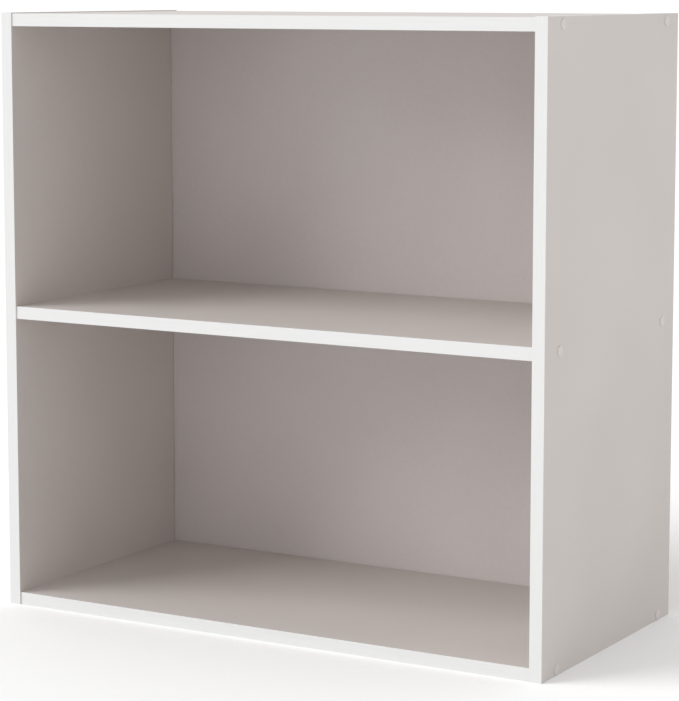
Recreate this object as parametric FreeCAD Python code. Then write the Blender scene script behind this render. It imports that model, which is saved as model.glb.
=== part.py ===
import FreeCAD, Part
import math
import os

# Open bookcase with two equal compartments, built as a flat-pack carcass of
# melamine-faced chipboard. Two full-height sides carry a top, a fixed middle
# shelf and a bottom, each held by countersunk connecting screws and wooden
# dowels. A thin hardboard back stands in grooves on all four sides and is
# pinned to the shelf. Visible edges wear glued-on plastic edging, and the
# screw heads in the outer faces are covered with round caps.
#
# Frame: millimetres. The origin is the centre of the footprint, on the floor.
# +X is to the right of someone facing the shelves, +Y to the back, +Z up.

# ---- carcass -------------------------------------------------------------
WIDTH = 765.0              # over the outer faces of the two sides
HEIGHT = 765.0
DEPTH = 375.0              # front face of the edging to the rear edges
BOARD = 16.0               # every chipboard panel
SHELF_CENTRE = HEIGHT / 2  # the shelf halves the case
FRONT_STEP = 1.5           # top, shelf and bottom stand this far behind the sides' front
TOP_STEP = 1.2             # the top panel lies this far below the sides' upper ends

# ---- edging --------------------------------------------------------------
FRONT_EDGING = 0.4         # thickness of the band on every front edge
FRONT_EDGING_ROUND = 0.25  # radius scraped along its two long corners
END_EDGING = 0.4           # thickness of the band on the sides' top and foot
END_EDGING_ROUND = 0.25

# ---- back ----------------------------------------------------------------
BACK_THICKNESS = 3.0       # hardboard
GROOVE_SETBACK = 11.0      # rear edge of the panels to the groove
GROOVE_DEPTH = 8.0
GROOVE_PLAY = 1.0          # in front of the back, which bears on the groove's rear wall
SHELF_PLAY = 1.0           # between the shelf and the back, which slides down past it
BACK_EDGE_PLAY = 1.0       # between each edge of the back and the groove's floor

# ---- connecting screws ---------------------------------------------------
FRONT_SCREW_SETBACK = 40.0  # from the front face
REAR_SCREW_SETBACK = 36.0   # from the rear edges
SCREW_LENGTH = 50.0
SCREW_SINK = 0.6           # top of the head below the panel's outer face
HEAD_RADIUS = 5.0
HEAD_RIM = 1.2             # straight part of the head, above its 90 degree cone
SHANK_RADIUS = 3.5
CORE_RADIUS = 2.3          # between the thread's ridges
THREAD_RADIUS = 3.3
THREAD_PITCH = 3.0
THREAD_ROOT = 1.5          # width of a ridge at the core
THREAD_CREST = 0.3         # width of a ridge at its top
TIP_LENGTH = 3.0
TIP_RADIUS = 1.2
SOCKET_FLATS = 4.0         # hexagon socket, across flats
SOCKET_DEPTH = 3.2
SHANK_PLAY = 0.1           # radial, round the head and shank in the side
PILOT_SPARE = 3.0          # drilled past the screw's tip

# ---- screw caps ----------------------------------------------------------
CAP_RADIUS = 6.5
CAP_THICKNESS = 1.0        # the cap lies on the panel's outer face
CAP_ROUND = 0.5
STUB_LENGTH = 2.6          # of the cap's stub inside the screw's socket
STUB_PLAY = 0.05           # on each flat of the stub

# ---- dowels --------------------------------------------------------------
DOWEL_OFFSET = 32.0        # from the screw beside it
DOWEL_RADIUS = 4.0
DOWEL_LENGTH = 35.0
DOWEL_IN_SIDE = 11.0       # length of the dowel inside the side panel
DOWEL_SPARE = 1.0          # drilled past each end of the dowel
DOWEL_CHAMFER = 1.0
FLUTES = 12
FLUTE_RADIUS = 0.4

# ---- pins through the back -----------------------------------------------
PINS = 4
PIN_RADIUS = 0.8
PIN_LENGTH = 22.0          # under the head
PIN_POINT = 2.0
PIN_HEAD_RADIUS = 2.0
PIN_HEAD = 0.6

# ---- places worked out from the sizes above ------------------------------
HALF_WIDTH = WIDTH / 2
INNER = HALF_WIDTH - BOARD          # inner face of a side, from the middle
FRONT = -DEPTH / 2
REAR = DEPTH / 2
CORE_FRONT = FRONT + FRONT_EDGING   # front edge of a side's bare board
PANEL_FRONT = FRONT + FRONT_STEP    # front face of a horizontal panel's edging
PANEL_CORE_FRONT = PANEL_FRONT + FRONT_EDGING
TOP_FACE = HEIGHT - TOP_STEP        # upper face of the top panel
CEILING = TOP_FACE - BOARD          # its lower face
BACK_REAR = REAR - GROOVE_SETBACK
BACK_FRONT = BACK_REAR - BACK_THICKNESS
GROOVE_FRONT = BACK_FRONT - GROOVE_PLAY
GROOVE_LOW = BOARD - GROOVE_DEPTH
GROOVE_HIGH = CEILING + GROOVE_DEPTH

# Each horizontal panel: its lower face and its rear edge.
PANELS = {
    "top_panel": (CEILING, REAR),
    "middle_shelf": (SHELF_CENTRE - BOARD / 2, BACK_FRONT - SHELF_PLAY),
    "bottom_panel": (0.0, REAR),
}
SIDES = {"left_side": -1, "right_side": 1}
SCREW_ROWS = (FRONT + FRONT_SCREW_SETBACK, REAR - REAR_SCREW_SETBACK)
DOWEL_ROWS = (SCREW_ROWS[0] + DOWEL_OFFSET, SCREW_ROWS[1] - DOWEL_OFFSET)


def vector(x, y, z):
    return FreeCAD.Vector(x, y, z)


def block(x, y, z):
    """A box from three (low, high) pairs."""
    size = [high - low for low, high in (x, y, z)]
    return Part.makeBox(*size, vector(x[0], y[0], z[0]))


def turned(profile):
    """A solid turned about the X axis from (x, radius) points, given from one
    end of the axis to the other."""
    start = (profile[0][0], 0.0)
    end = (profile[-1][0], 0.0)
    points = [vector(x, 0, radius) for x, radius in [start, *profile, end]]
    outline = [point for point, following in zip(points, points[1:]) if point != following]
    outline.append(points[-1])
    face = Part.Face(Part.makePolygon([*outline, outline[0]]))
    return face.revolve(vector(0, 0, 0), vector(1, 0, 0), 360)


def hexagon(across_flats, x_low, x_high):
    """A six-sided bar along X."""
    corner = across_flats / math.sqrt(3)
    angles = [math.radians(60 * side) for side in range(7)]
    outline = [vector(x_low, corner * math.cos(a), corner * math.sin(a)) for a in angles]
    return Part.Face(Part.makePolygon(outline)).extrude(vector(x_high - x_low, 0, 0))


def round_outer_edges(band, radius, run, outward, face):
    """Rounds the edges of a band that run along one axis in its outer face."""
    edges = []
    for edge in band.Edges:
        first, last = (vertex.Point for vertex in edge.Vertexes)
        on_face = all(abs(getattr(end, outward) - face) < 1e-6 for end in (first, last))
        along = abs(abs(getattr(last - first, run)) - edge.Length) < 1e-6
        if on_face and along:
            edges.append(edge)
    return band.makeFillet(radius, edges)


# ---- joint hardware, drawn along +X from a side's outer face at x = 0 ----

def screw_head_profile(play):
    """The head's rim, its cone and the start of the shank. The cone is the
    same with or without play, so the head bears on its seat."""
    cone_start = SCREW_SINK + HEAD_RIM - play
    cone_end = cone_start + HEAD_RADIUS - SHANK_RADIUS
    return [(cone_start, HEAD_RADIUS + play), (cone_end, SHANK_RADIUS + play)]


def connecting_screw():
    """Smooth shank through the side, coarse thread in the panel's end grain."""
    tip = SCREW_SINK + SCREW_LENGTH
    profile = [(SCREW_SINK, HEAD_RADIUS), *screw_head_profile(0.0)]
    profile += [(BOARD, SHANK_RADIUS), (BOARD, CORE_RADIUS)]
    flank = (THREAD_ROOT - THREAD_CREST) / 2
    ridges = int((tip - TIP_LENGTH - BOARD) // THREAD_PITCH)
    for ridge in range(ridges):
        root = BOARD + (ridge + 1) * THREAD_PITCH - THREAD_ROOT
        profile += [
            (root, CORE_RADIUS),
            (root + flank, THREAD_RADIUS),
            (root + flank + THREAD_CREST, THREAD_RADIUS),
            (root + THREAD_ROOT, CORE_RADIUS),
        ]
    profile += [(tip - TIP_LENGTH, CORE_RADIUS), (tip, TIP_RADIUS)]
    socket = hexagon(SOCKET_FLATS, SCREW_SINK, SCREW_SINK + SOCKET_DEPTH)
    return turned(profile).cut(socket)


def screw_seat():
    """Stepped and countersunk hole through a side."""
    profile = [(0.0, HEAD_RADIUS + SHANK_PLAY), *screw_head_profile(SHANK_PLAY)]
    return turned([*profile, (BOARD, SHANK_RADIUS + SHANK_PLAY)])


def screw_pilot(screw):
    """Hole in a panel's end: the pilot drilling, and the thread that the
    screw has cut in it."""
    end = SCREW_SINK + SCREW_LENGTH + PILOT_SPARE
    return screw.fuse(turned([(BOARD, CORE_RADIUS), (end, CORE_RADIUS)]))


def screw_cap():
    """Round cap, with a six-sided stub that plugs into the screw's socket."""
    disc = turned([(-CAP_THICKNESS, CAP_RADIUS), (0.0, CAP_RADIUS)])
    rim = [edge for edge in disc.Edges
           if edge.BoundBox.XMax < -CAP_THICKNESS / 2 and edge.BoundBox.YLength > CAP_RADIUS]
    stub = hexagon(SOCKET_FLATS - 2 * STUB_PLAY, 0.0, SCREW_SINK + STUB_LENGTH)
    return disc.makeFillet(CAP_ROUND, rim).fuse(stub).removeSplitter()


def dowel():
    """Fluted beech dowel across the joint between a side and a panel's end."""
    start = BOARD - DOWEL_IN_SIDE
    end = start + DOWEL_LENGTH
    peg = turned([
        (start, DOWEL_RADIUS - DOWEL_CHAMFER),
        (start + DOWEL_CHAMFER, DOWEL_RADIUS),
        (end - DOWEL_CHAMFER, DOWEL_RADIUS),
        (end, DOWEL_RADIUS - DOWEL_CHAMFER),
    ])
    flutes = []
    for flute in range(FLUTES):
        angle = 2 * math.pi * flute / FLUTES
        place = vector(start, DOWEL_RADIUS * math.cos(angle), DOWEL_RADIUS * math.sin(angle))
        flutes.append(Part.makeCylinder(FLUTE_RADIUS, DOWEL_LENGTH, place, vector(1, 0, 0)))
    return peg.cut(flutes)


def dowel_hole():
    start = BOARD - DOWEL_IN_SIDE - DOWEL_SPARE
    end = start + DOWEL_LENGTH + 2 * DOWEL_SPARE
    return turned([(start, DOWEL_RADIUS), (end, DOWEL_RADIUS)])


def panel_pin():
    """Flat-headed pin along -Y, drawn with its head on the back's rear face."""
    pin = turned([
        (-PIN_HEAD, PIN_HEAD_RADIUS),
        (0.0, PIN_HEAD_RADIUS),
        (0.0, PIN_RADIUS),
        (PIN_LENGTH - PIN_POINT, PIN_RADIUS),
        (PIN_LENGTH, PIN_RADIUS / 4),
    ])
    pin.rotate(vector(0, 0, 0), vector(0, 0, 1), -90)
    pin.translate(vector(0, BACK_REAR, SHELF_CENTRE))
    return pin


def at_joint(piece, side, y, z):
    """Moves a piece of joint hardware to one joint of one side."""
    placed = piece.copy()
    if side > 0:
        placed.rotate(vector(0, 0, 0), vector(0, 0, 1), 180)
    placed.translate(vector(side * HALF_WIDTH, y, z))
    return placed


def at_joints(piece, rows, sides, panels):
    """Copies of a piece at every row of the joints between sides and panels."""
    return [
        at_joint(piece, side, y, PANELS[panel][0] + BOARD / 2)
        for panel in panels
        for side in sides
        for y in rows
    ]


# ---- boards --------------------------------------------------------------

def back_groove(x, z):
    return block(x, (GROOVE_FRONT, BACK_REAR), z)


def side_panel(side, holes):
    across = sorted((side * INNER, side * HALF_WIDTH))
    board = block(across, (CORE_FRONT, REAR), (END_EDGING, HEIGHT - END_EDGING))
    groove_across = sorted((side * INNER, side * (INNER + GROOVE_DEPTH)))
    return board.cut([back_groove(groove_across, (GROOVE_LOW, GROOVE_HIGH)), *holes])


def side_edging(side):
    """The front, top and foot bands of a side. The front band runs the full
    height and covers the ends of the other two."""
    across = sorted((side * INNER, side * HALF_WIDTH))
    front = block(across, (FRONT, CORE_FRONT), (0.0, HEIGHT))
    top = block(across, (CORE_FRONT, REAR), (HEIGHT - END_EDGING, HEIGHT))
    foot = block(across, (CORE_FRONT, REAR), (0.0, END_EDGING))
    return {
        "front_edging": round_outer_edges(front, FRONT_EDGING_ROUND, "z", "y", FRONT),
        "top_edging": round_outer_edges(top, END_EDGING_ROUND, "y", "z", HEIGHT),
        "foot_edging": round_outer_edges(foot, END_EDGING_ROUND, "y", "z", 0.0),
    }


def horizontal_panel(name, holes):
    low, rear = PANELS[name]
    board = block((-INNER, INNER), (PANEL_CORE_FRONT, rear), (low, low + BOARD))
    inner_faces = {
        "top_panel": (low, GROOVE_HIGH),
        "bottom_panel": (GROOVE_LOW, BOARD),
    }
    if name in inner_faces:
        holes = [back_groove((-INNER, INNER), inner_faces[name]), *holes]
    return board.cut(holes)


def horizontal_edging(name):
    low = PANELS[name][0]
    band = block((-INNER, INNER), (PANEL_FRONT, PANEL_CORE_FRONT), (low, low + BOARD))
    return round_outer_edges(band, FRONT_EDGING_ROUND, "x", "y", PANEL_FRONT)


def back_panel(pins):
    reach = GROOVE_DEPTH - BACK_EDGE_PLAY
    across = (-INNER - reach, INNER + reach)
    upright = (BOARD - reach, CEILING + reach)
    return block(across, (BACK_FRONT, BACK_REAR), upright).cut(pins)


def main():
    nodes = {}
    every_side = tuple(SIDES.values())

    screw = connecting_screw()
    seat = screw_seat()
    pilot = screw_pilot(screw)
    cap = screw_cap()
    peg = dowel()
    peg_hole = dowel_hole()
    pins = []
    for count in range(PINS):
        pin = panel_pin()
        pin.translate(vector(-INNER + (count + 0.5) * 2 * INNER / PINS, 0, 0))
        pins.append(pin)

    for name, side in SIDES.items():
        holes = at_joints(seat, SCREW_ROWS, [side], PANELS)
        holes += at_joints(peg_hole, DOWEL_ROWS, [side], PANELS)
        nodes[f"{name}_panel"] = [side_panel(side, holes)]
        for band, solid in side_edging(side).items():
            nodes[f"{name}_{band}"] = [solid]
        nodes[f"{name}_screw_caps"] = at_joints(cap, SCREW_ROWS, [side], PANELS)

    for name in PANELS:
        holes = at_joints(pilot, SCREW_ROWS, every_side, [name])
        holes += at_joints(peg_hole, DOWEL_ROWS, every_side, [name])
        if name == "middle_shelf":
            holes += pins
        nodes[name] = [horizontal_panel(name, holes)]
        nodes[f"{name}_front_edging"] = [horizontal_edging(name)]
        nodes[f"{name}_screws"] = at_joints(screw, SCREW_ROWS, every_side, [name])
        nodes[f"{name}_dowels"] = at_joints(peg, DOWEL_ROWS, every_side, [name])

    nodes["back_panel"] = [back_panel(pins)]
    nodes["back_panel_pins"] = pins

    os.makedirs("parts", exist_ok=True)
    for name, solids in nodes.items():
        shape = solids[0] if len(solids) == 1 else Part.makeCompound(solids)
        shape.exportStep(f"parts/{name}.step")
        print(f"{name}: {len(shape.Solids)} solid(s), {shape.Volume / 1000:.1f} cm3")


main()
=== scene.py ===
# %% [markdown]
# # An open bookcase of melamine-faced board
#
# The case is flat-pack furniture: five panels of chipboard with a hard paper
# face, white plastic edging glued on in front, a thin back in grooves, and
# screws and dowels in the joints. The shapes come ready made from the frame,
# so this lesson is mostly about surfaces and light, and about the small
# pieces that repeat, which a few Geometry Nodes trees make. All lengths are
# metres, and MM turns millimetres into them.

# %% Load the case
import math

import bpy
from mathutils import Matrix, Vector


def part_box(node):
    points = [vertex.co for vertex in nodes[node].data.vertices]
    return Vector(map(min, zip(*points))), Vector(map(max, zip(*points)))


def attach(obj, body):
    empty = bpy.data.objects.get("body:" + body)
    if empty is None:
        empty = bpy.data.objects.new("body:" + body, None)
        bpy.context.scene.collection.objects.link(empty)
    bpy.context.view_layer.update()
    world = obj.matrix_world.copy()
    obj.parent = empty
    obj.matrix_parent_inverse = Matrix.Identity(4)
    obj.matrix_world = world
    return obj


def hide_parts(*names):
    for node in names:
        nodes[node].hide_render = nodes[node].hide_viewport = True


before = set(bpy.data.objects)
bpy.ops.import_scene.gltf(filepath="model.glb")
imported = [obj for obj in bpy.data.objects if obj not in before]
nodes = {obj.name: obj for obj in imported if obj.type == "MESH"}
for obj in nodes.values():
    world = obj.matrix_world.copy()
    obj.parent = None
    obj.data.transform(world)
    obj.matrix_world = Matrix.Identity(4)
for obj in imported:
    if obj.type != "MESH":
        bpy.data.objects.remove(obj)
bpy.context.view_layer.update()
MM = 0.001

# %% [markdown]
# ## Helpers
#
# Paint makers give colours as sRGB hex, but Blender mixes light in linear
# numbers, so one function converts. Another adds a node, sets its options
# and fills or links its inputs, which keeps each material and each Geometry
# Nodes tree short enough to read from top to bottom. Inputs go by name, or by
# number where names repeat. A Mix node has a pair of inputs for each kind of
# value: 2 and 3 are numbers, 4 and 5 vectors, and 6 and 7 colours. What comes
# out is its output 0, 1 or 2.

# %% Colour and node helpers


def linear(hex_colour):
    """Linear red, green, blue and alpha of an sRGB hex colour."""
    values = []
    for start in (1, 3, 5):
        share = int(hex_colour[start:start + 2], 16) / 255
        values.append(share / 12.92 if share <= 0.04045 else ((share + 0.055) / 1.055) ** 2.4)
    return (*values, 1.0)


def plug(tree, value, socket):
    """Gives an input its value, or links it to a socket or to the first
    output of a node."""
    if isinstance(value, bpy.types.Node):
        value = value.outputs[0]
    if isinstance(value, bpy.types.NodeSocket):
        tree.links.new(value, socket)
    else:
        socket.default_value = value


def add(tree, kind, inputs=None, **settings):
    """Adds a node to a tree, with its settings and what goes into its inputs."""
    node = tree.nodes.new(kind)
    for name, value in settings.items():
        setattr(node, name, value)
    for name, value in (inputs or {}).items():
        plug(tree, value, node.inputs[name])
    return node


print("mid grey in linear light:", round(linear("#808080")[0], 3))

# %% [markdown]
# ## The camera
#
# A product camera stands to the right of the case, just above its top, with
# a long lens so that the uprights stay nearly parallel. The small downward
# shift takes the place of some of the tilt.

# %% Camera
CAMERA_PLACE = (1.5978, -2.7437, 0.8002)
CAMERA_TURN = 30.142     # degrees to the left, back towards the case
CAMERA_TILT = 7.028      # degrees below level
CAMERA_LENS = 129.13     # mm
CAMERA_SENSOR = 36.0     # mm
CAMERA_SHIFT = -0.08     # of the frame's longer side
CAMERA_REACH = 1000.0    # far enough for the floor to meet the frame's top

camera_data = bpy.data.cameras.new("camera")
camera_data.sensor_width = CAMERA_SENSOR
camera_data.lens = CAMERA_LENS
camera_data.shift_y = CAMERA_SHIFT
camera_data.clip_end = CAMERA_REACH
camera = bpy.data.objects.new("camera", camera_data)
camera.location = CAMERA_PLACE
camera.rotation_euler = (math.radians(90 - CAMERA_TILT), 0, math.radians(CAMERA_TURN))
bpy.context.scene.collection.objects.link(camera)
bpy.context.scene.camera = camera
print("camera:", round(math.hypot(*CAMERA_PLACE[:2]), 2), "m from the case's middle, along the floor")

# %% [markdown]
# ## What every finish needs
#
# A finish comes down to three things that vary over a surface: its colour,
# its roughness and its height. The Principled shader takes the first two as
# they are. A Bump node turns the third into a tilt of the surface, which is
# enough for relief that is finer than a hair.

# %% Start and end of a material


def new_material(name):
    """An empty material and its tree."""
    material = bpy.data.materials.new(name)
    material.use_nodes = True
    material.node_tree.nodes.clear()
    return material, material.node_tree


def surface(tree, colour, dullness, height, relief, metallic=0.0):
    """Ends a material's tree: colour, roughness and height go to one shader.
    relief is how many metres a height of 1 stands for."""
    bump = add(tree, "ShaderNodeBump", {"Height": height, "Distance": relief})
    shader = add(tree, "ShaderNodeBsdfPrincipled", {
        "Base Color": colour, "Roughness": dullness, "Metallic": metallic, "Normal": bump})
    add(tree, "ShaderNodeOutputMaterial", {"Surface": shader})


# %% [markdown]
# ## Melamine film
#
# Each chipboard panel wears a sheet of printed paper on both faces, soaked
# in melamine resin and pressed hot. It is dull but not dry: the press plate
# leaves a shallow pebble that spreads the shine. From arm's length it is one
# warm light grey. Closer to, the print is a faint speckle of two greys, so
# that is how the shader is made, with a slow drift over the whole board as
# real boards have. The back wears the same print on a thinner foil, so one
# function makes the film, and another lays it over any bare board.

# %% Melamine film
FILM = ("#C7C0BC", "#CDC6C2")     # the darker and the lighter print
FOIL = ("#CAC2C0", "#D0C9C7")     # the same on the back, a little lighter
FILM_SPECKLE = 2.5 * MM           # across one speck of the print, drawn coarser than life
FILM_DRIFT = 180 * MM             # across one light or dark patch
PRINT_RANGE = (0.7, 1.3)          # of speckle and drift together, from dark to light
FILM_DULLNESS = (0.44, 0.56)      # least and most roughness
FILM_PEBBLE = 0.9 * MM            # across one pebble of the press plate
PEBBLE_HEIGHT = 0.006 * MM


def melamine_film(tree, place, print_colours):
    """The film's colour, roughness and height at a place."""
    speckle = add(tree, "ShaderNodeTexNoise", {
        "Vector": place, "Scale": 1 / FILM_SPECKLE, "Detail": 3.0, "Roughness": 0.6})
    drift = add(tree, "ShaderNodeTexNoise", {"Vector": place, "Scale": 1 / FILM_DRIFT, "Detail": 1.0})
    both = add(tree, "ShaderNodeMath", {0: speckle, 1: drift}, operation="ADD")
    share = add(tree, "ShaderNodeMapRange", {
        "Value": both, "From Min": PRINT_RANGE[0], "From Max": PRINT_RANGE[1]})
    dark, light = map(linear, print_colours)
    colour = add(tree, "ShaderNodeMix", {0: share, 6: dark, 7: light}, data_type="RGBA").outputs[2]
    dullness = add(tree, "ShaderNodeMapRange", {
        "Value": speckle, "To Min": FILM_DULLNESS[0], "To Max": FILM_DULLNESS[1]})
    pebble = add(tree, "ShaderNodeTexNoise", {"Vector": place, "Scale": 1 / FILM_PEBBLE, "Detail": 1.0})
    return colour, dullness, pebble


def film_over(tree, faced, film, bare, relief):
    """Ends a material's tree with film where faced is 1, and bare board where
    it is 0. Each of the two is a colour, a roughness and a height. relief is
    how many metres a height of 1 stands for on the bare board."""
    colour = add(tree, "ShaderNodeMix", {0: faced, 6: bare[0], 7: film[0]}, data_type="RGBA").outputs[2]
    dullness = add(tree, "ShaderNodeMix", {0: faced, 2: bare[1], 3: film[1]})
    # Both heights share one Bump node, so the pebble's is scaled to its relief.
    pebble = add(tree, "ShaderNodeMath", {0: film[2], 1: PEBBLE_HEIGHT / relief}, operation="MULTIPLY")
    height = add(tree, "ShaderNodeMix", {0: faced, 2: bare[2], 3: pebble})
    surface(tree, colour, dullness, height, relief)


# %% [markdown]
# ## Chipboard
#
# Under the film is chipboard: dry wood chips pressed with glue, long and flat
# in the core and as fine as sawdust near the faces. It shows on the rear
# edges, in the grooves and in the drilled holes. Voronoi cells make good
# chips once they are squashed along the panel's thickness, and a Mapping node
# of the Texture kind takes the size of one chip directly as its scale, so the
# same cells serve the core and the finer layers under the faces. Towards the
# edge of its cell a chip falls lower and is drawn darker, and that darkness
# is painted shade in the gaps between chips.

# %% Chips
CORE_CHIP = (3.6 * MM, 0.9 * MM)    # along the board, and through its thickness
FACE_CHIP = (1.0 * MM, 0.4 * MM)
FACE_LAYER = 2.5 * MM               # fine chips under each face
CHIP_COLOURS = ("#6F4E30", "#A37C50", "#C7A273", "#D9BC90", "#E8D5B4")
CHIP_BEND = 0.8                     # waves of the bend along one chip
CHIP_EDGE = (0.45, 0.85)            # in chips from its middle: where the chip starts to fall lower and be drawn darker, and where it stops
CHIP_GAP_HEIGHT_AND_SHADE = 0.4                      # how high the gap beyond is, against the chip, and how light it is drawn: painted shade


def grain_size(grain, axis):
    """Size of one grain along X, Y and Z: the second number along one axis,
    and the first along the other two."""
    size = [grain[0]] * 3
    size[axis] = grain[1]
    return tuple(size)


def chips(tree, place, centre, across, half):
    """The colour and height of a board's chips at a place, with painted shade
    in the gaps between chips. across is the axis of its thickness, and half is half of that."""
    along = add(tree, "ShaderNodeSeparateXYZ", {0: place}).outputs[across]
    depth = add(tree, "ShaderNodeMath", {0: along, 1: centre[across]}, operation="SUBTRACT")
    depth = add(tree, "ShaderNodeMath", {0: depth}, operation="ABSOLUTE")
    near_face = add(tree, "ShaderNodeMath", {0: depth, 1: half - FACE_LAYER}, operation="GREATER_THAN")
    core, fine = grain_size(CORE_CHIP, across), grain_size(FACE_CHIP, across)
    size = add(tree, "ShaderNodeMix", {0: near_face, 4: core, 5: fine}, data_type="VECTOR").outputs[1]
    cells = add(tree, "ShaderNodeMapping", {
        "Vector": place, "Location": centre, "Scale": size}, vector_type="TEXTURE")
    bend = add(tree, "ShaderNodeTexNoise", {"Vector": cells, "Scale": CHIP_BEND}).outputs[1]
    bent = add(tree, "ShaderNodeVectorMath", {0: cells, 1: bend}, operation="ADD")
    chip = add(tree, "ShaderNodeTexVoronoi", {"Vector": bent, "Scale": 1.0})
    palette = add(tree, "ShaderNodeValToRGB", {0: chip.outputs["Color"]})
    stops = palette.color_ramp.elements
    while len(stops) < len(CHIP_COLOURS):
        stops.new(1.0)
    for number, colour in enumerate(CHIP_COLOURS):
        stops[number].position = number / (len(CHIP_COLOURS) - 1)
        stops[number].color = linear(colour)
    # Towards the edge of its cell a chip is lower and drawn darker: painted shade in the gaps between
    # chips.
    height_and_shade = add(tree, "ShaderNodeMapRange", {
        "Value": chip.outputs["Distance"], "From Min": CHIP_EDGE[0], "From Max": CHIP_EDGE[1],
        "To Min": 1.0, "To Max": CHIP_GAP_HEIGHT_AND_SHADE})
    colour_with_painted_shade = add(tree, "ShaderNodeVectorMath", {0: palette, "Scale": height_and_shade}, operation="SCALE")
    return colour_with_painted_shade, height_and_shade


# %% [markdown]
# ## Finish the panels
#
# The panels keep the meshes that they came with: their shapes are exact, down
# to the groove and the drilled holes. Only their material changes. Its shader
# asks which way a surface faces: there is film where it looks along the
# panel's thickness, and there are chips wherever a saw or a drill has been.
# Each panel has a material of its own, because the chips need to know where
# its middle is and which way its thickness lies.

# %% Melamine-faced chipboard
X, Y, Z = 0, 1, 2
PANELS = {
    "left_side_panel": X, "right_side_panel": X,
    "top_panel": Z, "middle_shelf": Z, "bottom_panel": Z,
}
FACING = 0.9                # a normal with more than this along an axis faces that way
CHIP_DULLNESS = 0.85
CHIP_RELIEF = 0.12 * MM


def faced_chipboard(node_name, across):
    """Melamine-faced chipboard for one panel. across is the axis of its
    thickness, which the film's two sheets look along."""
    material, tree = new_material("melamine_faced_chipboard_" + node_name)
    low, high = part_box(node_name)
    texture = add(tree, "ShaderNodeTexCoord").outputs
    place = texture["Object"]
    colour, height = chips(tree, place, (low + high) / 2, across, (high - low)[across] / 2)
    film = melamine_film(tree, place, FILM)
    facing = add(tree, "ShaderNodeSeparateXYZ", {0: texture["Normal"]}).outputs[across]
    facing = add(tree, "ShaderNodeMath", {0: facing}, operation="ABSOLUTE")
    faced = add(tree, "ShaderNodeMath", {0: facing, 1: FACING}, operation="GREATER_THAN")
    film_over(tree, faced, film, (colour, CHIP_DULLNESS, height), CHIP_RELIEF)
    return material


def dress(node_name, material):
    """Gives a node of the case its one material."""
    nodes[node_name].data.materials.clear()
    nodes[node_name].data.materials.append(material)


for panel, across in PANELS.items():
    dress(panel, faced_chipboard(panel, across))
print("finished", len(PANELS), "panels")

# %% [markdown]
# ## Hardboard
#
# The back is 3 mm hardboard, wood fibres steamed and pressed flat. The side
# that shows between the shelves has the same print as the panels. The side
# towards the wall is bare: brown and cloudy, with stray dark fibres and the
# print of the wire screen that the steam left through. Noise makes the cloud,
# and two wave textures make the screen, whose pits are lower and drawn darker:
# that darkness is painted shade. A fibre is a short line that lies any way
# round, and no texture draws those. But a Voronoi texture tells each spot
# where the middle of its cell is, and gives each cell a random colour. So the
# shader draws one line through each middle, turned by an angle that it takes
# from that colour, and a little noise in the coordinates curls the line.

# %% Stray fibres
FIBRE_CELL = 4 * MM           # each layer has one fibre in a cell of this size
FIBRE_WIDTH = 0.35 * MM       # drawn coarser than life
FIBRE_LENGTH = 5 * MM
FIBRE_CURL = 1.5 * MM


def stray_fibres(tree, place, layer):
    """How much of a place is fibre, from 0 to 1, in one layer."""
    # The board stands in the XZ plane, and a flat Voronoi reads X and Y. Each
    # layer is moved a metre both ways from the last, so their fibres differ.
    flat = add(tree, "ShaderNodeMapping", {
        "Vector": place, "Location": (layer, layer, 0.0), "Rotation": (math.radians(90), 0.0, 0.0)})
    curl = add(tree, "ShaderNodeTexNoise", {"Vector": flat, "Scale": 1 / FIBRE_CELL}).outputs[1]
    bent = add(tree, "ShaderNodeVectorMath", {
        0: curl, 1: (FIBRE_CURL,) * 3, 2: flat}, operation="MULTIPLY_ADD")
    cell = add(tree, "ShaderNodeTexVoronoi", {
        "Vector": bent, "Scale": 1 / FIBRE_CELL}, voronoi_dimensions="2D").outputs
    off = add(tree, "ShaderNodeVectorMath", {0: bent, 1: cell["Position"]}, operation="SUBTRACT")
    chance = add(tree, "ShaderNodeSeparateXYZ", {0: cell["Color"]})
    angle = add(tree, "ShaderNodeMath", {0: chance, 1: math.pi}, operation="MULTIPLY")
    turned = add(tree, "ShaderNodeVectorRotate", {"Vector": off, "Angle": angle}, rotation_type="Z_AXIS")
    within = []
    for axis, size in ((X, FIBRE_WIDTH), (Y, FIBRE_LENGTH)):
        side = add(tree, "ShaderNodeSeparateXYZ", {0: turned}).outputs[axis]
        side = add(tree, "ShaderNodeMath", {0: side}, operation="ABSOLUTE")
        # Full strength in the inner half of the fibre, then less to its edge.
        within.append(add(tree, "ShaderNodeMapRange", {
            "Value": side, "From Min": size / 2, "From Max": size / 4}))
    return add(tree, "ShaderNodeMath", {0: within[0], 1: within[1]}, operation="MULTIPLY")


# %% Foiled hardboard
BARE = ("#5F412A", "#9A744F")    # the darker and the lighter brown
BARE_DULLNESS = 0.75
CLOUD = 35 * MM                  # across one cloud
SCREEN_PITCH = 2.4 * MM          # between wires, drawn coarser than life
SCREEN_DEPTH = 0.05 * MM
WAVE_BANDS = 20 / math.tau       # bands that a wave texture makes in one unit
FIBRE_LAYERS = 4
CLOUD_SHARE = (0.55, 1.1)        # of the lighter brown, in the darkest cloud and the lightest
SCREEN_PIT_PAINTED_SHADE = (0.7, 1.0)        # painted shade of the screen: share of the lighter brown in a pit, and on a ridge
FIBRE_SHARE = (1.0, 0.3)         # beside a fibre, and on it


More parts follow.
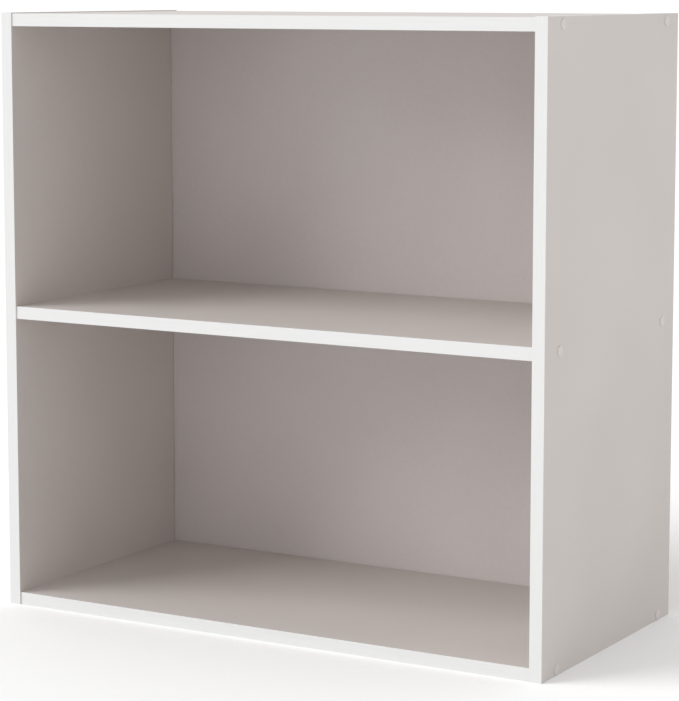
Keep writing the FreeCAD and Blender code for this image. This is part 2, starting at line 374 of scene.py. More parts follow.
def bare_hardboard(tree, place):
    """The colour and height of bare hardboard at a place, with painted shade in the screen's pits."""
    wires = [
        add(tree, "ShaderNodeTexWave", {
            "Vector": place, "Scale": 1 / (SCREEN_PITCH * WAVE_BANDS)}, bands_direction=way).outputs[1]
        for way in ("X", "Z")
    ]
    screen = add(tree, "ShaderNodeMath", {0: wires[0], 1: wires[1]}, operation="MULTIPLY")
    cloud = add(tree, "ShaderNodeTexNoise", {
        "Vector": place, "Scale": 1 / CLOUD, "Detail": 5.0, "Roughness": 0.65})
    # The screen's pits are drawn darker as well as lower: painted shade.
    shades = [(cloud, CLOUD_SHARE), (screen, SCREEN_PIT_PAINTED_SHADE)]
    for layer in range(FIBRE_LAYERS):
        shades.append((stray_fibres(tree, place, layer), FIBRE_SHARE))
    tone = 1.0
    for strength, (least, most) in shades:
        share = add(tree, "ShaderNodeMapRange", {"Value": strength, "To Min": least, "To Max": most})
        tone = add(tree, "ShaderNodeMath", {0: tone, 1: share}, operation="MULTIPLY")
    dark, light = map(linear, BARE)
    colour = add(tree, "ShaderNodeMix", {0: tone, 6: dark, 7: light}, data_type="RGBA").outputs[2]
    return colour, screen


def foiled_hardboard():
    """Hardboard for the back: foil where it faces the front, and bare behind."""
    material, tree = new_material("foiled_hardboard")
    texture = add(tree, "ShaderNodeTexCoord").outputs
    place = texture["Object"]
    colour, height = bare_hardboard(tree, place)
    foil = melamine_film(tree, place, FOIL)
    facing = add(tree, "ShaderNodeSeparateXYZ", {0: texture["Normal"]}).outputs[Y]
    foiled = add(tree, "ShaderNodeMath", {0: facing, 1: -FACING}, operation="LESS_THAN")
    film_over(tree, foiled, foil, (colour, BARE_DULLNESS, height), SCREEN_DEPTH)
    return material


dress("back_panel", foiled_hardboard())
print("finished the back, with", FIBRE_LAYERS, "layers of fibres")

# %% [markdown]
# ## The small finishes
#
# The edging is ABS, extruded as a long white tape. The die leaves it satin,
# with hair-fine streaks that run along it, so its noise is stretched that
# way, and there is one material for each direction. The caps are moulded
# polyethylene, waxy and a little uneven. The screws and pins are steel with
# a clear zinc plating: a bright, faintly blue metal, clouded where the bath
# left it duller. The dowels are bare beech, known by the short dark flecks
# along its grain.

# %% ABS, polyethylene, zinc-plated steel and beech
NOISE_RANGE = (0.3, 0.7)          # of a noise, from the first colour to the second
STREAK = (0.5 * MM, 90 * MM)      # across and along one streak of the die
FLECK = (0.4 * MM, 5 * MM)        # across and along one fleck of the beech


def patterned(name, grain, colours, dullness, relief, metallic=0.0, detail=2.0):
    """A material whose colour, roughness and height follow one noise. grain is
    the size of its grains along X, Y and Z, dullness the least and the most
    roughness, and relief its height in metres."""
    material, tree = new_material(name)
    place = add(tree, "ShaderNodeTexCoord").outputs["Object"]
    grains = add(tree, "ShaderNodeMapping", {"Vector": place, "Scale": grain}, vector_type="TEXTURE")
    noise = add(tree, "ShaderNodeTexNoise", {"Vector": grains, "Scale": 1.0, "Detail": detail})
    share = add(tree, "ShaderNodeMapRange", {
        "Value": noise, "From Min": NOISE_RANGE[0], "From Max": NOISE_RANGE[1]})
    first, second = map(linear, colours)
    colour = add(tree, "ShaderNodeMix", {0: share, 6: first, 7: second}, data_type="RGBA").outputs[2]
    rough = add(tree, "ShaderNodeMapRange", {
        "Value": share, "To Min": dullness[0], "To Max": dullness[1]})
    surface(tree, colour, rough, noise, relief, metallic)
    return material


edging = [
    patterned(
        "white_abs_edging_along_" + "xyz"[axis], grain=grain_size(STREAK, axis),
        colours=("#D2D2D2", "#D8D8D7"), dullness=(0.34, 0.44), relief=0.004 * MM)
    for axis in (X, Y, Z)
]
polyethylene = patterned(
    "moulded_polyethylene", grain=(1.5 * MM,) * 3,
    colours=("#CCC6C2", "#D3CDC9"), dullness=(0.36, 0.48), relief=0.01 * MM)
zinc_plate = patterned(
    "zinc_plated_steel", grain=(1.2 * MM,) * 3,
    colours=("#A9ACB2", "#C6C9CE"), dullness=(0.28, 0.42), relief=0.008 * MM, metallic=1.0)
beech = patterned(
    "bare_beech", grain=grain_size(FLECK, X),
    colours=("#B07E4C", "#DDB988"), dullness=(0.55, 0.7), relief=0.03 * MM, detail=4.0)
print("finishes:", [material.name for material in (*edging, polyethylene, zinc_plate, beech)])

# %% [markdown]
# ## Trees with named inputs
#
# The small pieces come from Geometry Nodes trees. Each tree takes a mesh of
# bare points, one for each copy, and named sizes. Each ends the same way: a
# copy of its shape at every point, made real and given its material.

# %% Start and end of a tree


def new_tree(name, sizes):
    """An empty tree and the sockets of its inputs: one for geometry, and one
    for each named size, with its usual value."""
    tree = bpy.data.node_groups.new(name, "GeometryNodeTree")
    tree.is_modifier = True
    for way in ("INPUT", "OUTPUT"):
        tree.interface.new_socket("Geometry", in_out=way, socket_type="NodeSocketGeometry")
    for label, value in sizes.items():
        kind = "NodeSocketVector" if isinstance(value, tuple) else "NodeSocketFloat"
        tree.interface.new_socket(label, in_out="INPUT", socket_type=kind).default_value = value
    tree.interface.new_socket("Material", in_out="INPUT", socket_type="NodeSocketMaterial")
    return tree, add(tree, "NodeGroupInput").outputs


def place_and_finish(tree, given, shape, turn):
    """Ends a tree: a turned copy of the shape at each point, made real and
    given its material."""
    copies = add(tree, "GeometryNodeInstanceOnPoints", {
        "Points": given["Geometry"], "Instance": shape, "Rotation": turn})
    real = add(tree, "GeometryNodeRealizeInstances", {"Geometry": copies})
    finished = add(tree, "GeometryNodeSetMaterial", {"Geometry": real, "Material": given["Material"]})
    add(tree, "NodeGroupOutput", {"Geometry": finished})


# %% [markdown]
# ## Pieces that a lathe would make
#
# Caps, screws, dowels and pins are all turned: one outline runs from the
# axis out to the rim and back to the axis, and spins once. Blender's Spin
# tool or a Screw modifier could do that for a single piece. Here one
# Geometry Nodes group does it for all of them. It lays a grid, gives each
# row of the grid one point of the outline and each column one angle, and
# rolls it up. A radius factor that depends on the angle then turns a round
# stretch into a hexagon, a flute or a thread. The outline's third coordinate
# says where that factor works.

# %% The lathe
SECTORS = 24                     # faces round a piece, unless it asks for more
SHARP_BEND = math.radians(35)    # edges that turn more than this stay crisp
WELD = 0.001 * MM                # points closer than this become one
HELPERS = ("angle", "height")    # attributes that a radius factor reads


def outline_grid(tree, run, sectors):
    """A grid with a row for each point of an outline, and at each of its
    points the angle, the radius, the height and the factor's share."""
    sizes = add(tree, "GeometryNodeAttributeDomainSize", {0: run}, component="CURVE").outputs
    rows = sizes["Point Count"]
    columns = add(tree, "ShaderNodeMath", {0: sectors, 1: 1}, operation="ADD")
    grid = add(tree, "GeometryNodeMeshGrid", {"Vertices X": columns, "Vertices Y": rows})
    index = add(tree, "GeometryNodeInputIndex")
    row = add(tree, "ShaderNodeMath", {0: index, 1: rows}, operation="MODULO")
    share = add(tree, "ShaderNodeMath", {0: index, 1: rows}, operation="DIVIDE")
    column = add(tree, "ShaderNodeMath", {0: share}, operation="FLOOR")
    turn = add(tree, "ShaderNodeMath", {0: column, 1: sectors}, operation="DIVIDE")
    angle = add(tree, "ShaderNodeMath", {0: turn, 1: math.tau}, operation="MULTIPLY")
    place = add(tree, "GeometryNodeInputPosition")
    point = add(tree, "GeometryNodeSampleIndex", {
        "Geometry": run, "Value": place, "Index": row}, data_type="FLOAT_VECTOR")
    radius, height, worked = add(tree, "ShaderNodeSeparateXYZ", {0: point}).outputs
    return grid, angle, radius, height, worked


def lathe_group():
    """Turns an outline about the Z axis: X is the radius, Y the height along
    the axis and Z how far the radius factor works there."""
    tree = bpy.data.node_groups.new("lathe", "GeometryNodeTree")
    sockets = (
        ("Outline", "Geometry", None), ("Sectors", "Int", SECTORS), ("Radius Factor", "Float", 1.0))
    for label, kind, value in sockets:
        socket = tree.interface.new_socket(label, in_out="INPUT", socket_type="NodeSocket" + kind)
        if value is not None:
            socket.default_value = value
    tree.interface.new_socket("Mesh", in_out="OUTPUT", socket_type="NodeSocketGeometry")
    given = add(tree, "NodeGroupInput").outputs
    mesh, angle, radius, height, worked = outline_grid(tree, given["Outline"], given["Sectors"])
    for name, value in zip(HELPERS, (angle, height)):
        mesh = add(tree, "GeometryNodeStoreNamedAttribute", {
            "Geometry": mesh, "Name": name, "Value": value})
    change = add(tree, "ShaderNodeMath", {0: given["Radius Factor"], 1: 1.0}, operation="SUBTRACT")
    part = add(tree, "ShaderNodeMath", {0: change, 1: worked}, operation="MULTIPLY")
    factor = add(tree, "ShaderNodeMath", {0: part, 1: 1.0}, operation="ADD")
    reach = add(tree, "ShaderNodeMath", {0: radius, 1: factor}, operation="MULTIPLY")
    cosine = add(tree, "ShaderNodeMath", {0: angle}, operation="COSINE")
    sine = add(tree, "ShaderNodeMath", {0: angle}, operation="SINE")
    x = add(tree, "ShaderNodeMath", {0: reach, 1: cosine}, operation="MULTIPLY")
    y = add(tree, "ShaderNodeMath", {0: reach, 1: sine}, operation="MULTIPLY")
    rolled = add(tree, "ShaderNodeCombineXYZ", {X: x, Y: y, Z: height})
    turned = add(tree, "GeometryNodeSetPosition", {"Geometry": mesh, "Position": rolled})
    closed = add(tree, "GeometryNodeMergeByDistance", {"Geometry": turned, "Distance": WELD})
    smooth = add(tree, "GeometryNodeSetShadeSmooth", {"Geometry": closed})
    bend = add(tree, "GeometryNodeInputMeshEdgeAngle").outputs["Unsigned Angle"]
    sharp = add(tree, "ShaderNodeMath", {0: bend, 1: SHARP_BEND}, operation="GREATER_THAN")
    crisp = add(tree, "GeometryNodeSetShadeSmooth", {
        "Geometry": smooth, "Selection": sharp, "Shade Smooth": False}, domain="EDGE")
    add(tree, "NodeGroupOutput", {"Mesh": crisp})
    return tree


LATHE = lathe_group()
print("the lathe has", len(LATHE.nodes), "nodes")

# %% [markdown]
# ## Outlines
#
# An outline starts as a straight curve with a point for each corner, and
# each point then moves to its corner. Fillet Curve rounds the corners that
# ask for it, and Subdivide Curve adds rows where a thread needs them.

# %% Outlines
ROUND_POINTS = 5    # points in a rounded corner


def outline(tree, corners, rounds=None, cuts=None):
    """A curve through corners, each given as radius, height and how far the
    radius factor works there. A pair in brackets is added up. rounds gives
    some corners a fillet, and cuts splits the run after some corners. Both
    go by the corner's number."""
    places = []
    for corner in corners:
        sizes = [
            add(tree, "ShaderNodeMath", dict(enumerate(size)), operation="ADD")
            if isinstance(size, tuple) else size
            for size in corner
        ]
        places.append(add(tree, "ShaderNodeCombineXYZ", dict(enumerate(sizes))))
    lists = {"VECTOR": places}
    if rounds:
        lists["FLOAT"] = [rounds.get(number, 0.0) for number in range(len(corners))]
    if cuts:
        lists["INT"] = [cuts.get(number, 0) for number in range(len(corners))]

    # From each list, the value for the corner at hand.
    index = add(tree, "GeometryNodeInputIndex")
    chosen = {}
    for kind, values in lists.items():
        switch = add(tree, "GeometryNodeIndexSwitch", {"Index": index}, data_type=kind)
        while len(switch.index_switch_items) < len(values):
            switch.index_switch_items.new()
        for number, value in enumerate(values):
            plug(tree, value, switch.inputs[number + 1])
        chosen[kind] = switch

    line = add(tree, "GeometryNodeCurvePrimitiveLine")
    curve = add(tree, "GeometryNodeResampleCurve", {"Curve": line, "Count": len(corners)})
    curve = add(tree, "GeometryNodeSetPosition", {"Geometry": curve, "Position": chosen["VECTOR"]})
    if rounds:
        curve = add(tree, "GeometryNodeFilletCurve", {
            "Curve": curve, "Count": ROUND_POINTS, "Radius": chosen["FLOAT"]}, mode="POLY")
    if cuts:
        curve = add(tree, "GeometryNodeSubdivideCurve", {"Curve": curve, "Cuts": chosen["INT"]})
    return curve


# %% [markdown]
# ## From a tree to a plain mesh
#
# A tree works as a modifier on a mesh of bare points. The modifier knows its
# inputs by identifiers that Blender makes up, so they are looked up by name
# in the tree's interface. What it grows is then kept as a mesh that needs
# neither the tree nor the modifier.

# %% Grow a piece and fit it


def grow(name, tree, places, sizes, material):
    """Runs a tree on a mesh of bare points and keeps the result as a plain
    mesh, with the tree's modifier gone."""
    points = bpy.data.meshes.new(name + "_places")
    points.from_pydata(places, [], [])
    piece = bpy.data.objects.new(name, points)
    bpy.context.scene.collection.objects.link(piece)
    modifier = piece.modifiers.new(tree.name, "NODES")
    modifier.node_group = tree
    values = {**sizes, "Material": material}
    for socket in tree.interface.items_tree:
        if socket.in_out == "INPUT" and socket.name in values:
            modifier[socket.identifier] = values[socket.name]
    evaluated = piece.evaluated_get(bpy.context.evaluated_depsgraph_get())
    mesh = bpy.data.meshes.new_from_object(evaluated)
    piece.modifiers.remove(modifier)
    piece.data = mesh
    mesh.name = name
    for label in HELPERS:
        if label in mesh.attributes:
            mesh.attributes.remove(mesh.attributes[label])
    print(f"{name}: {len(places)} copies, {len(mesh.polygons)} faces")
    return piece


def fit(piece, node_name):
    """Hangs a piece under the case's root body and hides the node that it stands for."""
    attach(piece, "root")
    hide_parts(node_name)


# %% [markdown]
# ## Where the joints are
#
# Every joint sits in the middle of the thickness of the top, the shelf or
# the bottom, in two rows front and rear. The frame gives the boxes of the
# nodes, and a round piece reaches past the middle of its joint by its radius,
# so nothing has to be measured twice. The pieces are drawn with +Z pointing
# into the joint and z = 0 on the side panel's outer face. A point on the left
# of the case turns its copy one way and a point on the right the other way.

# %% Joint places
LEVELS = {}
for panel, across in PANELS.items():
    if across == Z:
        low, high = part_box(panel)
        LEVELS[panel] = (low.z + high.z) / 2
SIDE_LOW, SIDE_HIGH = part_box("right_side_panel")
SIDES = {"left_side": -SIDE_HIGH.x, "right_side": SIDE_HIGH.x}    # each one's outer face
BOARD = SIDE_HIGH.x - SIDE_LOW.x


def radius_of(node_name):
    """Radius of the round pieces in a node: they reach this far below the
    middle of the bottom panel."""
    return LEVELS["bottom_panel"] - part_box(node_name)[0].z


def rows_of(node_name):
    """The front and the rear row of round pieces in a node, from its box."""
    low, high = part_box(node_name)
    return low.y + radius_of(node_name), high.y - radius_of(node_name)


def joint_places(faces, rows, levels):
    """The points where outer faces, rows and levels meet."""
    return [(x, y, z) for z in levels for x in faces for y in rows]


def inward(tree):
    """Rotation that points a copy's +Z at the middle of the case."""
    place = add(tree, "GeometryNodeInputPosition")
    across = add(tree, "ShaderNodeSeparateXYZ", {0: place}).outputs[X]
    side = add(tree, "ShaderNodeMath", {0: across}, operation="SIGN")
    lean = add(tree, "ShaderNodeMath", {0: side, 1: math.radians(-90)}, operation="MULTIPLY")
    return add(tree, "ShaderNodeCombineXYZ", {Y: lean})


SCREW_ROWS = rows_of("bottom_panel_screws")
DOWEL_ROWS = rows_of("bottom_panel_dowels")
print("screw rows, in mm:", [round(row / MM, 1) for row in SCREW_ROWS])
print("dowel rows, in mm:", [round(row / MM, 1) for row in DOWEL_ROWS])

# %% [markdown]
# ## Screw caps
#
# A moulded cap hides the head of each connecting screw. It is a disc 1 mm
# thick with a soft rim and a barely crowned face, on a six-sided stub that
# presses into the screw's socket. A hexagon is a circle whose radius is
# divided by the cosine of the angle from the middle of the nearest side.

# %% Screw caps
CAP_THICKNESS = 1.0 * MM
CAP_CROWN = 0.12 * MM         # rim lower than the middle
CAP_ROUND = 0.45 * MM
CAP_SECTORS = 48              # more than screws and pins have, because the rims show
CROWN_SHARE = 0.6             # of the radius is flat
CROWN_ROUND = 30 * MM
STUB_FLATS = 3.9 * MM
STUB_LENGTH = 3.2 * MM
STUB_START = 0.05 * MM        # over which the stub goes from round to six-sided
HEXAGON_SIDE = math.tau / 6   # angle that one side of a hexagon takes up


def hexagon_factor(tree):
    """Radius factor that turns a circle into the hexagon round it."""
    angle = add(tree, "GeometryNodeInputNamedAttribute", {"Name": "angle"})
    side = add(tree, "ShaderNodeMath", {0: angle, 1: HEXAGON_SIDE}, operation="MODULO")
    turn = add(tree, "ShaderNodeMath", {0: side, 1: HEXAGON_SIDE / 2}, operation="SUBTRACT")
    lean = add(tree, "ShaderNodeMath", {0: turn}, operation="COSINE")
    return add(tree, "ShaderNodeMath", {0: 1.0, 1: lean}, operation="DIVIDE")


def cap_tree():
    """A screw cap: a crowned disc on a hexagonal stub."""
    tree, given = new_tree("screw_cap", {
        "Radius": 6.5 * MM, "Thickness": CAP_THICKNESS,
        "Stub Radius": STUB_FLATS / 2, "Stub Length": STUB_LENGTH})
    radius, stub, length = given["Radius"], given["Stub Radius"], given["Stub Length"]
    top = add(tree, "ShaderNodeMath", {0: given["Thickness"], 1: -1.0}, operation="MULTIPLY")
    crown = add(tree, "ShaderNodeMath", {0: radius, 1: CROWN_SHARE}, operation="MULTIPLY")
    run = outline(tree, [
        (0.0, top, 0.0),
        (crown, top, 0.0),
        (radius, (top, CAP_CROWN), 0.0),
        (radius, 0.0, 0.0),
        (stub, 0.0, 0.0),
        (stub, STUB_START, 1.0),
        (stub, length, 1.0),
        (0.0, length, 1.0),
    ], rounds={1: CROWN_ROUND, 2: CAP_ROUND})
    shape = add(tree, "GeometryNodeGroup", {
        "Outline": run, "Radius Factor": hexagon_factor(tree), "Sectors": CAP_SECTORS}, node_tree=LATHE)
    place_and_finish(tree, given, shape, inward(tree))
    return tree


CAP = cap_tree()
CAP_SIZES = {"Radius": radius_of("left_side_screw_caps")}
for side, x in SIDES.items():
    places = joint_places([x], SCREW_ROWS, LEVELS.values())
    caps = grow(side + "_moulded_caps", CAP, places, CAP_SIZES, polyethylene)
    fit(caps, side + "_screw_caps")

# %% [markdown]
# ## Connecting screws
#
# These are the 7 mm screws made for chipboard: a hexagon socket in a
# countersunk head, a smooth shank that fills the side, and a coarse thread
# that cuts its own way into the panel's end. The thread is a helix, so a
# point's place in the thread depends on its height and its angle together:
# one turn round is worth one pitch along.

# %% The thread
CORE_RADIUS = 2.3 * MM
THREAD_RADIUS = 3.3 * MM
THREAD_PITCH = 3.0 * MM
THREAD_ROOT = 1.5 * MM        # width of the ridge at the core
THREAD_CREST = 0.3 * MM       # and at its top


def thread_factor(tree):
    """Radius factor that lifts a helical ridge out of the core."""
    angle = add(tree, "GeometryNodeInputNamedAttribute", {"Name": "angle"})
    height = add(tree, "GeometryNodeInputNamedAttribute", {"Name": "height"})
    turns = add(tree, "ShaderNodeMath", {0: angle, 1: math.tau}, operation="DIVIDE")
    pitches = add(tree, "ShaderNodeMath", {0: height, 1: THREAD_PITCH}, operation="DIVIDE")
    phase = add(tree, "ShaderNodeMath", {0: pitches, 1: turns}, operation="SUBTRACT")
    phase = add(tree, "ShaderNodeMath", {0: phase}, operation="FRACT")
    # The crest lies half way through each pitch.
    off_crest = add(tree, "ShaderNodeMath", {0: phase, 1: 0.5}, operation="SUBTRACT")
    off_crest = add(tree, "ShaderNodeMath", {0: off_crest}, operation="ABSOLUTE")
    return add(tree, "ShaderNodeMapRange", {
        "Value": off_crest,
        "From Min": THREAD_ROOT / 2 / THREAD_PITCH, "From Max": THREAD_CREST / 2 / THREAD_PITCH,
        "To Min": 1.0, "To Max": THREAD_RADIUS / CORE_RADIUS})


# %% Connecting screws
SCREW_LENGTH = 50 * MM
SCREW_SINK = 0.6 * MM         # top of the head below the panel's face
SOCKET_FLATS = 4.0 * MM
SOCKET_DEPTH = 3.2 * MM
HEAD_RIM = 1.2 * MM           # straight part of the head, above its cone
SHANK_RADIUS = 3.5 * MM
THREAD_FADE = 1.0 * MM        # over which the ridge rises at each end
THREAD_CUTS = 107             # along the thread, which makes about 11 faces to a pitch
TIP_LENGTH = 3.0 * MM
TIP_RADIUS = 1.2 * MM


def screw_tree():
    """A connecting screw, from the floor of its socket round to its tip."""
    tree, given = new_tree("connecting_screw", {
        "Head Radius": 5.0 * MM, "Side Thickness": 16 * MM, "Length": SCREW_LENGTH})
    head, board = given["Head Radius"], given["Side Thickness"]
    tip = add(tree, "ShaderNodeMath", {0: given["Length"], 1: SCREW_SINK}, operation="ADD")
    run = outline(tree, [
        (0.0, SCREW_SINK + SOCKET_DEPTH, 1.0),
        (SOCKET_FLATS / 2, SCREW_SINK + SOCKET_DEPTH, 1.0),
        (SOCKET_FLATS / 2, SCREW_SINK, 1.0),
        (head, SCREW_SINK, 0.0),
        (head, SCREW_SINK + HEAD_RIM, 0.0),
        (SHANK_RADIUS, (head, SCREW_SINK + HEAD_RIM - SHANK_RADIUS), 0.0),
        (SHANK_RADIUS, board, 0.0),
        (CORE_RADIUS, board, 0.0),
        (CORE_RADIUS, (board, THREAD_FADE), 1.0),
        (CORE_RADIUS, (tip, -TIP_LENGTH - THREAD_FADE), 1.0),
        (CORE_RADIUS, (tip, -TIP_LENGTH), 0.0),
        (TIP_RADIUS, tip, 0.0),
        (0.0, tip, 0.0),
    ], cuts={8: THREAD_CUTS})
    height = add(tree, "GeometryNodeInputNamedAttribute", {"Name": "height"})
    threaded = add(tree, "ShaderNodeMath", {0: height, 1: board}, operation="GREATER_THAN")
    factor = add(tree, "ShaderNodeMix", {0: threaded, 2: hexagon_factor(tree), 3: thread_factor(tree)})
    shape = add(tree, "GeometryNodeGroup", {"Outline": run, "Radius Factor": factor}, node_tree=LATHE)
    place_and_finish(tree, given, shape, inward(tree))
    return tree


SCREW = screw_tree()
SCREW_SIZES = {"Head Radius": radius_of("bottom_panel_screws"), "Side Thickness": BOARD}
for panel, z in LEVELS.items():
    places = joint_places(SIDES.values(), SCREW_ROWS, [z])
    screws = grow(panel + "_threaded_screws", SCREW, places, SCREW_SIZES, zinc_plate)
    fit(screws, panel + "_screws")

# %% [markdown]
# ## Dowels
#
# Two 8 mm beech dowels sit between the screws of each joint and keep the
# panels from turning. Their flutes let the glue and the air out of the hole.
# A flute is the arc of a small circle that is centred on the dowel's skin,
# so its depth falls off like a half circle to either side.

# %% Dowels
DOWEL_LENGTH = 35 * MM
DOWEL_IN_SIDE = 11 * MM
DOWEL_CHAMFER = 1 * MM
FLUTES = 12
FLUTE_RADIUS = 0.4 * MM
FLUTE_SECTORS = 8             # faces round the dowel for each flute


def flute_factor(tree, radius):
    """Radius factor that cuts round flutes along a dowel."""
    angle = add(tree, "GeometryNodeInputNamedAttribute", {"Name": "angle"})
    turn = add(tree, "ShaderNodeMath", {0: angle, 1: math.tau / FLUTES}, operation="MODULO")
    off = add(tree, "ShaderNodeMath", {0: turn, 1: math.pi / FLUTES}, operation="SUBTRACT")
    arc = add(tree, "ShaderNodeMath", {0: off, 1: radius}, operation="MULTIPLY")
    square = add(tree, "ShaderNodeMath", {0: arc, 1: 2.0}, operation="POWER")
    left = add(tree, "ShaderNodeMath", {0: FLUTE_RADIUS ** 2, 1: square}, operation="SUBTRACT")
    left = add(tree, "ShaderNodeMath", {0: left, 1: 0.0}, operation="MAXIMUM")
    depth = add(tree, "ShaderNodeMath", {0: left}, operation="SQRT")
    share = add(tree, "ShaderNodeMath", {0: depth, 1: radius}, operation="DIVIDE")
    return add(tree, "ShaderNodeMath", {0: 1.0, 1: share}, operation="SUBTRACT")


def dowel_tree():
    """A fluted dowel with chamfered ends, part in the side and part in the panel."""
    tree, given = new_tree("dowel", {
        "Radius": 4 * MM, "Side Thickness": 16 * MM, "Length": DOWEL_LENGTH})
    radius, board, length = given["Radius"], given["Side Thickness"], given["Length"]
    start = add(tree, "ShaderNodeMath", {0: board, 1: -DOWEL_IN_SIDE}, operation="ADD")
    stop = add(tree, "ShaderNodeMath", {0: start, 1: length}, operation="ADD")
    run = outline(tree, [
        (0.0, start, 0.0),
        ((radius, -DOWEL_CHAMFER), start, 0.0),
        (radius, (start, DOWEL_CHAMFER), 1.0),
        (radius, (stop, -DOWEL_CHAMFER), 1.0),
        ((radius, -DOWEL_CHAMFER), stop, 0.0),
        (0.0, stop, 0.0),
    ])
    shape = add(tree, "GeometryNodeGroup", {
        "Outline": run, "Radius Factor": flute_factor(tree, radius),
        "Sectors": FLUTES * FLUTE_SECTORS}, node_tree=LATHE)
    place_and_finish(tree, given, shape, inward(tree))
    return tree


DOWEL = dowel_tree()
DOWEL_SIZES = {"Radius": radius_of("bottom_panel_dowels"), "Side Thickness": BOARD}
for panel, z in LEVELS.items():
    places = joint_places(SIDES.values(), DOWEL_ROWS, [z])
    dowels = grow(panel + "_fluted_dowels", DOWEL, places, DOWEL_SIZES, beech)
    fit(dowels, panel + "_dowels")

# %% [markdown]
# ## Panel pins
#
# Four flat-headed pins go through the back into the rear edge of the shelf
# and keep it from sagging. Their heads are the only fixings that show from
# behind, so they get a rounded rim. The pins are evenly spaced, each in the
# middle of a quarter of the shelf.

# %% Panel pins
PINS = 4
PIN_RADIUS = 0.8 * MM
PIN_LENGTH = 22 * MM
PIN_POINT = 2 * MM
PIN_TAPER = 0.25              # of the radius is left at the point
PIN_HEAD = 0.6 * MM
PIN_ROUND = 0.25 * MM


def pin_tree():
    """A panel pin with a rounded flat head, its point towards +Z."""
    tree, given = new_tree("panel_pin", {
        "Head Radius": 2 * MM, "Radius": PIN_RADIUS, "Length": PIN_LENGTH})
    head, radius, length = given["Head Radius"], given["Radius"], given["Length"]
    point = add(tree, "ShaderNodeMath", {0: radius, 1: PIN_TAPER}, operation="MULTIPLY")
    run = outline(tree, [
        (0.0, -PIN_HEAD, 0.0),
        (head, -PIN_HEAD, 0.0),
        (head, 0.0, 0.0),
        (radius, 0.0, 0.0),
        (radius, (length, -PIN_POINT), 0.0),
        (point, length, 0.0),
        (0.0, length, 0.0),
    ], rounds={1: PIN_ROUND})
    shape = add(tree, "GeometryNodeGroup", {"Outline": run}, node_tree=LATHE)
    place_and_finish(tree, given, shape, (math.radians(90), 0.0, 0.0))
    return tree


PIN_LOW, PIN_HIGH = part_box("back_panel_pins")
SHELF_LOW, SHELF_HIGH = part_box("middle_shelf")
SPACING = (SHELF_HIGH.x - SHELF_LOW.x) / PINS
PIN_SIZES = {"Head Radius": (PIN_HIGH.z - PIN_LOW.z) / 2}
places = [
    (SHELF_LOW.x + (count + 0.5) * SPACING, PIN_HIGH.y - PIN_HEAD, LEVELS["middle_shelf"])
    for count in range(PINS)
]
pins = grow("back_panel_flat_pins", pin_tree(), places, PIN_SIZES, zinc_plate)
fit(pins, "back_panel_pins")

# %% [markdown]
# ## Edging bands
#
# Every band is the same tape cut to length: a rectangle with its two outer
# corners scraped round, swept along a straight line. The tree draws the
# section once and sweeps it, and the band's box in the frame says how long,
# wide and thick it is. Which of the box's sides is which depends on the band:
# the thinnest is the thickness, and the longest the length.

# %% A band of edging
EDGE_ROUND = 0.25 * MM


def band_tree():
    """A band along X, with its glued face at z = 0 and its outer face up."""
    tree, given = new_tree("edging_band", {
        "Turn": (0.0, 0.0, 0.0), "Length": 0.7, "Width": 16 * MM,
        "Thickness": 0.4 * MM, "Round": EDGE_ROUND})
    half = add(tree, "ShaderNodeMath", {0: given["Length"], 1: 0.5}, operation="MULTIPLY")
    minus_half = add(tree, "ShaderNodeMath", {0: half, 1: -1.0}, operation="MULTIPLY")
    start = add(tree, "ShaderNodeCombineXYZ", {X: minus_half})
    stop = add(tree, "ShaderNodeCombineXYZ", {X: half})
    path = add(tree, "GeometryNodeCurvePrimitiveLine", {"Start": start, "End": stop})
    side = add(tree, "ShaderNodeMath", {0: given["Width"], 1: 0.5}, operation="MULTIPLY")
    minus_side = add(tree, "ShaderNodeMath", {0: side, 1: -1.0}, operation="MULTIPLY")
    outer = add(tree, "ShaderNodeMath", {0: given["Thickness"], 1: -1.0}, operation="MULTIPLY")
    section = outline(tree, [
        (minus_side, 0.0, 0.0), (minus_side, outer, 0.0), (side, outer, 0.0), (side, 0.0, 0.0),
    ], rounds={1: given["Round"], 2: given["Round"]})
    closed = add(tree, "GeometryNodeSetSplineCyclic", {"Geometry": section, "Cyclic": True})
    swept = add(tree, "GeometryNodeCurveToMesh", {
        "Curve": path, "Profile Curve": closed, "Fill Caps": True})
    flat = add(tree, "GeometryNodeSetShadeSmooth", {"Geometry": swept, "Shade Smooth": False})
    place_and_finish(tree, given, flat, given["Turn"])
    return tree


# %% [markdown]
# ## Where the bands go
#
# A band is turned so that its outer face looks away from the board: to the
# front, up or down. Its one point lies on its glued face, which is the side
# of its box that touches the board.

# %% Edging bands
FRONT_ACROSS = (math.radians(90), 0.0, 0.0)                     # along X, facing the front
FRONT_UPRIGHT = (math.radians(90), math.radians(-90), 0.0)      # along Z, facing the front
TOP_LENGTHWAYS = (0.0, 0.0, math.radians(90))                   # along Y, facing up
FOOT_LENGTHWAYS = (math.radians(180), 0.0, math.radians(90))    # along Y, facing down

BANDS = {panel + "_front_edging": FRONT_ACROSS for panel in LEVELS}
for side in SIDES:
    BANDS[side + "_front_edging"] = FRONT_UPRIGHT
    BANDS[side + "_top_edging"] = TOP_LENGTHWAYS
    BANDS[side + "_foot_edging"] = FOOT_LENGTHWAYS

BAND = band_tree()
for name, turn in BANDS.items():
    low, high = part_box(name)
    thickness, width, length = sorted(high - low)
    axis = list(high - low).index(length)
    place = (low + high) / 2
    if turn in (FRONT_ACROSS, FRONT_UPRIGHT):
        place.y = high.y
    else:
        place.z = low.z if turn == TOP_LENGTHWAYS else high.z
    sizes = {"Turn": turn, "Length": length, "Width": width, "Thickness": thickness}
    band = grow(name + "_tape", BAND, [place], sizes, edging[axis])
    fit(band, name)

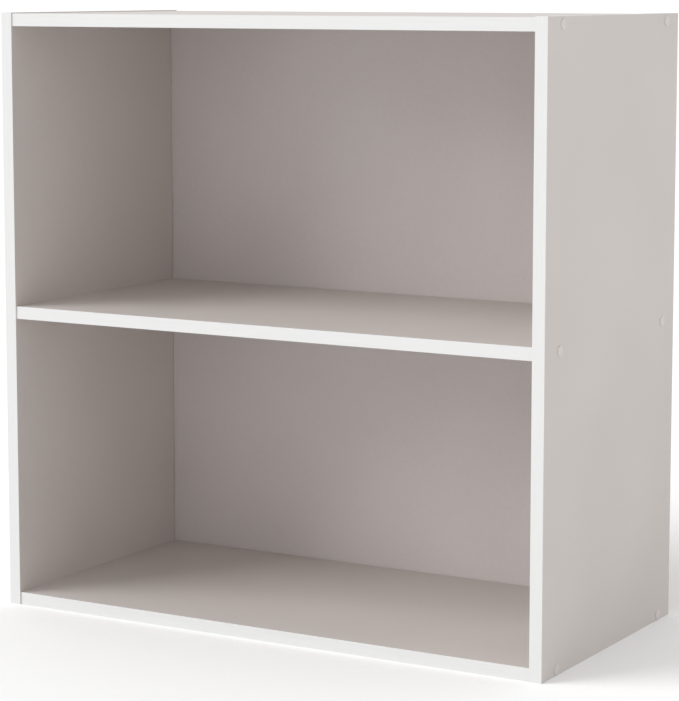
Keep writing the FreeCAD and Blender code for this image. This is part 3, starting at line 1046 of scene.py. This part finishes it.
# %% [markdown]
# ## Floor and light
#
# The studio is a pale floor under an even white world, which fills the
# shadows. One very large soft box does the modelling. It stands far off to
# the left in front, a good way up, so it reaches deep into both compartments
# and the left side throws its shadow across their backs. A sun lamp with a
# wide angle is such a box: being far away, it lights the left edging as much
# as the right, and keeps the floor white to its end. The outer side on the
# right gets no light from it, only what the world and the bright floor send.

# %% Floor
FLOOR_REACH = 300.0    # to each side, past all that the camera sees of it

floor_mesh = bpy.data.meshes.new("floor")
floor_mesh.from_pydata(
    [(x * FLOOR_REACH, y * FLOOR_REACH, 0.0) for x, y in ((-1, -1), (1, -1), (1, 1), (-1, 1))],
    [], [(0, 1, 2, 3)])
floor = bpy.data.objects.new("floor", floor_mesh)
bpy.context.scene.collection.objects.link(floor)
floor_mesh.materials.append(patterned(
    "rolled_white_paint", grain=(4 * MM,) * 3,
    colours=("#F8F8F8", "#FCFCFC"), dullness=(0.8, 0.9), relief=0.02 * MM))
print("floor:", 2 * FLOOR_REACH, "m square, in", floor_mesh.materials[0].name)

# %% Light
SOFT_BOX_TURN = -50         # degrees from straight in front, to the left
SOFT_BOX_RISE = 30          # degrees above level
SOFT_BOX_ANGLE = 40         # degrees across, seen from the case
SOFT_BOX_STRENGTH = 1.84
SOFT_BOX_DISTANCE = 3.0     # metres, out of the way: a sun lamp lights the same from anywhere
WORLD_STRENGTH = 0.83

heading, rise = math.radians(SOFT_BOX_TURN), math.radians(SOFT_BOX_RISE)
toward = Vector((
    math.cos(rise) * math.sin(heading), -math.cos(rise) * math.cos(heading), math.sin(rise)))
soft_box = bpy.data.objects.new("soft_box", bpy.data.lights.new("soft_box", "SUN"))
soft_box.location = SOFT_BOX_DISTANCE * toward
soft_box.rotation_euler = toward.to_track_quat("Z", "Y").to_euler()
soft_box.data.energy = SOFT_BOX_STRENGTH
soft_box.data.angle = math.radians(SOFT_BOX_ANGLE)
bpy.context.scene.collection.objects.link(soft_box)

world = bpy.data.worlds.new("studio")
world.use_nodes = True
bpy.context.scene.world = world
background = world.node_tree.nodes["Background"]
background.inputs["Color"].default_value = (1.0, 1.0, 1.0, 1.0)
background.inputs["Strength"].default_value = WORLD_STRENGTH
bpy.context.scene.view_settings.view_transform = "Standard"
print("light comes from", [round(value, 2) for value in toward])
